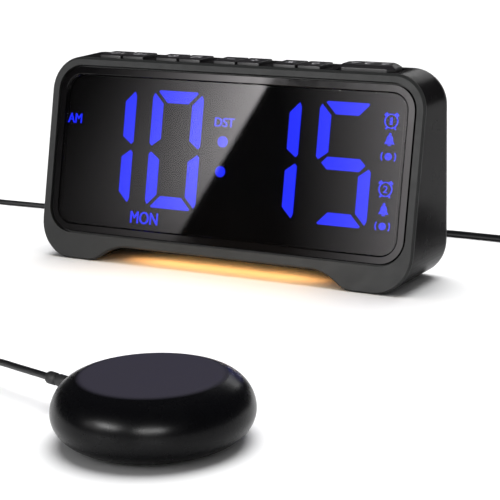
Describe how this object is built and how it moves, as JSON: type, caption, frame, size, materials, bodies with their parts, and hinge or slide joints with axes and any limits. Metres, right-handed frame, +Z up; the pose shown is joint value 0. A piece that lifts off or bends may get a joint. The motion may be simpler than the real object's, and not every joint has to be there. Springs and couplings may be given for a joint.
{
  "type": "bed shaker alarm clock",
  "caption": "Wedge-shaped bedside alarm clock with a wide lit digit display, keys and a snooze bar on top, a night light under its arch, and a round bed-shaking puck on its own cord.",
  "frame": {"origin": "on the table under the middle of the box round the clock and its shaker, cords and adapter not counted", "axes": "+Z is up; the display faces -Y and the clock's back faces +Y; +X is the viewer's right when the display is faced"},
  "size_m": [0.4271, 0.3753, 0.1045],
  "materials": {
    "charcoal_frame": "fine matte moulded ABS, dark grey",
    "gloss_rim": "polished black",
    "smoked_window": "smoked acrylic window, polished",
    "display_black": "matte black moulding",
    "blue_light": "lit blue segments",
    "shell_black": "satin to glossy black ABS",
    "key_black": "satin black ABS",
    "warm_diffuser": "milky diffuser, lit warm white",
    "board_green": "solder-masked circuit board",
    "component_black": "moulded component bodies",
    "white_plastic": "plain white plastic and print",
    "steel": "plated steel",
    "brass": "turned brass",
    "rubber_black": "soft black rubber",
    "cord_black": "satin black cord jacket",
    "puck_satin": "satin black soft-touch shell",
    "cone_black": "treated paper cone"
  },
  "bodies": {
    "clock": {"front_frame": "charcoal_frame", "lens_rim": "gloss_rim", "display_lens": "smoked_window", "display_module": "display_black", "time_digits": "blue_light", "status_marks": "blue_light", "body_shell": "shell_black", "rear_cover": "shell_black", "night_light_diffuser": "warm_diffuser", "night_light_board": "board_green", "foot_pads": "rubber_black", "key_board": "board_green", "key_switches": "component_black", "main_board": "board_green", "board_cable": "white_plastic", "speaker_frame": "component_black", "speaker_cone": "cone_black", "speaker_magnet": "steel", "coin_cell_holder": "component_black", "coin_cell": "steel", "power_jack": "component_black", "shaker_jack": "component_black", "usb_a_port": "steel", "usb_c_port": "steel", "housing_screws": "steel", "board_screws": "steel", "shaker_shell": "puck_satin", "shaker_base_cover": "puck_satin", "shaker_grip_pad": "rubber_black", "motor_cradle": "component_black", "shaker_motor": "steel", "shaker_screws": "steel", "shaker_strain_relief": "rubber_black", "shaker_cord_run": "cord_black", "shaker_cord_coil": "cord_black", "shaker_cord_tie": "cord_black", "shaker_cord_clock_run": "cord_black", "shaker_plug": "rubber_black", "power_plug": "rubber_black", "power_cord_run": "cord_black", "power_cord_coil": "cord_black", "power_cord_tie": "cord_black", "power_cord_adapter_run": "cord_black", "power_adapter": "component_black", "adapter_prongs": "brass"},
    "alarm_1_key": {"alarm_1_key": "key_black"},
    "alarm_2_key": {"alarm_2_key": "key_black"},
    "time_key": {"time_key": "key_black"},
    "day_key": {"day_key": "key_black"},
    "minus_key": {"minus_key": "key_black"},
    "plus_key": {"plus_key": "key_black"},
    "dimmer_key": {"dimmer_key": "key_black"},
    "night_light_key": {"night_light_key": "key_black"},
    "snooze_bar": {"snooze_bar": "key_black"},
    "battery_door": {"battery_door": "shell_black"},
    "shaker_rotor": {"motor_shaft": "steel", "eccentric_weight": "brass"}
  },
  "joints": [
    {"name": "alarm_1_key_press", "type": "slide", "parent": "clock", "child": "alarm_1_key", "axis": [0, 0, -1], "range_m": [0, 0.0007], "stiffness_N_per_m": 600, "springref_m": -0.001},
    {"name": "alarm_2_key_press", "type": "slide", "parent": "clock", "child": "alarm_2_key", "axis": [0, 0, -1], "range_m": [0, 0.0007], "stiffness_N_per_m": 600, "springref_m": -0.001},
    {"name": "time_key_press", "type": "slide", "parent": "clock", "child": "time_key", "axis": [0, 0, -1], "range_m": [0, 0.0007], "stiffness_N_per_m": 600, "springref_m": -0.001},
    {"name": "day_key_press", "type": "slide", "parent": "clock", "child": "day_key", "axis": [0, 0, -1], "range_m": [0, 0.0007], "stiffness_N_per_m": 600, "springref_m": -0.001},
    {"name": "minus_key_press", "type": "slide", "parent": "clock", "child": "minus_key", "axis": [0, 0, -1], "range_m": [0, 0.0007], "stiffness_N_per_m": 600, "springref_m": -0.001},
    {"name": "plus_key_press", "type": "slide", "parent": "clock", "child": "plus_key", "axis": [0, 0, -1], "range_m": [0, 0.0007], "stiffness_N_per_m": 600, "springref_m": -0.001},
    {"name": "dimmer_key_press", "type": "slide", "parent": "clock", "child": "dimmer_key", "axis": [0, 0, -1], "range_m": [0, 0.0007], "stiffness_N_per_m": 600, "springref_m": -0.001},
    {"name": "night_light_key_press", "type": "slide", "parent": "clock", "child": "night_light_key", "axis": [0, 0, -1], "range_m": [0, 0.0007], "stiffness_N_per_m": 600, "springref_m": -0.001},
    {"name": "snooze_bar_press", "type": "slide", "parent": "clock", "child": "snooze_bar", "axis": [0, 0, -1], "range_m": [0, 0.0007], "stiffness_N_per_m": 600, "springref_m": -0.001},
    {"name": "battery_door_slide", "type": "slide", "parent": "clock", "child": "battery_door", "axis": [1, 0, 0], "range_m": [0, 0.009]},
    {"name": "rotor_spin", "type": "hinge", "parent": "clock", "child": "shaker_rotor", "pos_m": [0.0838, -0.11065, 0.0117], "axis": [1, 0, 0], "continuous": true}
  ]
}
